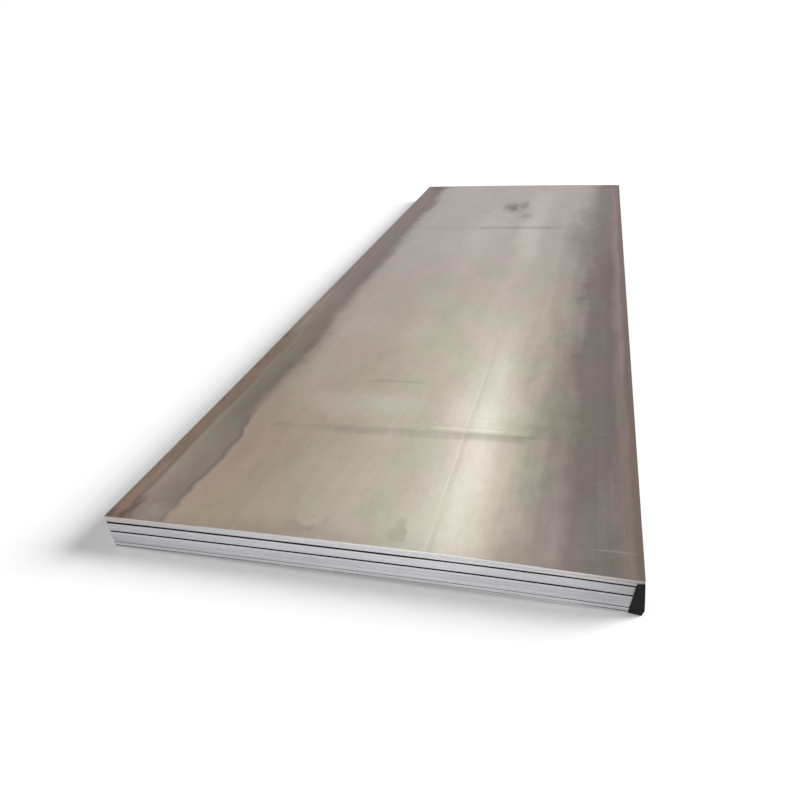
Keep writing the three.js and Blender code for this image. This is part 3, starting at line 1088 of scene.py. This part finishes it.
def black_rubber():
    """Matt moulded rubber with a fine pebble, black as painted shade: the guard stands in for the
    shade under the top plate's overhang.
    """
    material, tree, surface = new_material(
        "black_rubber", {"Roughness": 0.75, "Specular IOR Level": 0.25})
    position = object_position(tree)
    dust = ramp(tree, cloud(tree, position, 40.0, 3.0), 0.4, 0.8, 0.0, 0.5)
    tree.links.new(mix_colour(tree, dust, SHADE_BLOCK_BLACK, SHADE_BLOCK_DUSTY), surface["Base Color"])
    pebble = cloud(tree, position, 900.0, 2.0)
    add_bump(tree, surface, pebble, strength=0.4, distance=0.0002)
    return material


# ---- studio ------------------------------------------------------------------

WHITE = (1, 1, 1, 1)
FLOOR_GREY = (0.85, 0.85, 0.85, 1)
FLOOR_REACH = 60                  # metres to each side
FLOOR_GLOW = 0.290                # on what the camera sees, so that the lit floor is white
SKY_LIGHT = 0.15                  # the world as a light; seen directly it is white
SUN_STRENGTH = 4.65
SUN_SPREAD = math.radians(30)
SUN_HEIGHT, SUN_SIDE = math.radians(28), math.radians(23)
SUN_DISTANCE = 10
CEILING_LIGHT_PLACE = Vector((-0.84, 5.1, 5.0))
CEILING_LIGHT_POWER = 25
CEILING_LIGHT_WIDTH, CEILING_LIGHT_LENGTH = 0.45, 6.2
LENS, SENSOR_WIDTH = 32.235, 36   # millimetres
CAMERA_PLACE = (0.7588, -4.8657, 1.7737)
CAMERA_TURN = (62.097, 3.441, 14.253)
CAMERA_SIGHT = 200


def seen_directly(tree):
    """1 for what the camera sees, also in a reflection or through glass, else 0."""
    path = tree.nodes.new("ShaderNodeLightPath").outputs
    seen = calc(tree, "MAXIMUM", path["Is Camera Ray"], path["Is Glossy Ray"])
    return calc(tree, "MAXIMUM", seen, path["Is Transmission Ray"])


def make_floor():
    mesh = bmesh.new()
    bmesh.ops.create_grid(mesh, x_segments=1, y_segments=1, size=FLOOR_REACH)
    material, tree, surface = new_material("pale_floor", {
        "Base Color": FLOOR_GREY, "Roughness": 1.0, "Specular IOR Level": 0.0,
        "Emission Color": WHITE})
    glow = product(tree, seen_directly(tree), FLOOR_GLOW)
    tree.links.new(glow, surface["Emission Strength"])
    mesh_object(mesh, "floor", [material])


def make_world():
    world = bpy.data.worlds.new("studio")
    world.use_nodes = True
    bpy.context.scene.world = world
    tree = world.node_tree
    background = tree.nodes["Background"].inputs
    background["Color"].default_value = WHITE
    strength = add_node(
        tree, "ShaderNodeMapRange",
        {"Value": seen_directly(tree), "To Min": SKY_LIGHT, "To Max": 1.0}).outputs["Result"]
    tree.links.new(strength, background["Strength"])


def add_lamp(name, kind, energy, place, target, **settings):
    lamp = bpy.data.lights.new(name, kind)
    lamp.energy = energy
    for key, value in settings.items():
        setattr(lamp, key, value)
    holder = add_object(name, lamp)
    holder.location = place
    holder.rotation_euler = (target - place).to_track_quat("-Z", "Y").to_euler()
    holder.visible_camera = False
    return holder


def make_lamps():
    """A wide low sun from the right, and a long ceiling light that the steel reflects."""
    towards_sun = Vector((
        math.cos(SUN_HEIGHT) * math.cos(SUN_SIDE),
        math.cos(SUN_HEIGHT) * math.sin(SUN_SIDE),
        math.sin(SUN_HEIGHT),
    ))
    sun = add_lamp(
        "sun", "SUN", SUN_STRENGTH, towards_sun * SUN_DISTANCE, Vector((0, 0, 0)),
        angle=SUN_SPREAD)
    sun.visible_glossy = False
    add_lamp(
        "ceiling_light", "AREA", CEILING_LIGHT_POWER,
        CEILING_LIGHT_PLACE, CEILING_LIGHT_PLACE - Vector((0, 0, 1)),
        shape="RECTANGLE", size=CEILING_LIGHT_WIDTH, size_y=CEILING_LIGHT_LENGTH)


def make_camera():
    camera = bpy.data.cameras.new("camera")
    camera.sensor_fit = "HORIZONTAL"
    camera.sensor_width = SENSOR_WIDTH
    camera.lens = LENS
    camera.clip_end = CAMERA_SIGHT
    holder = add_object("camera", camera)
    holder.location = CAMERA_PLACE
    holder.rotation_euler = [math.radians(angle) for angle in CAMERA_TURN]
    bpy.context.scene.camera = holder


# ---- putting it together -----------------------------------------------------

rolled, covered, sheared, rubber = rolled_steel(), covered_steel(), sheared_steel(), black_rubber()
for level, plate_name in enumerate(PLATES):
    upper_face = rolled if plate_name == "top_plate" else covered
    make_plate(plate_name, level, (upper_face, sheared, covered))

# the frame's guard, black in place of the shade under the top plate's overhang
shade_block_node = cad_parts["corner_guard"]
shade_block_node.data.materials.clear()
shade_block_node.data.materials.append(rubber)

make_floor()
make_world()
make_lamps()
make_camera()
bpy.context.scene.view_settings.view_transform = "Standard"
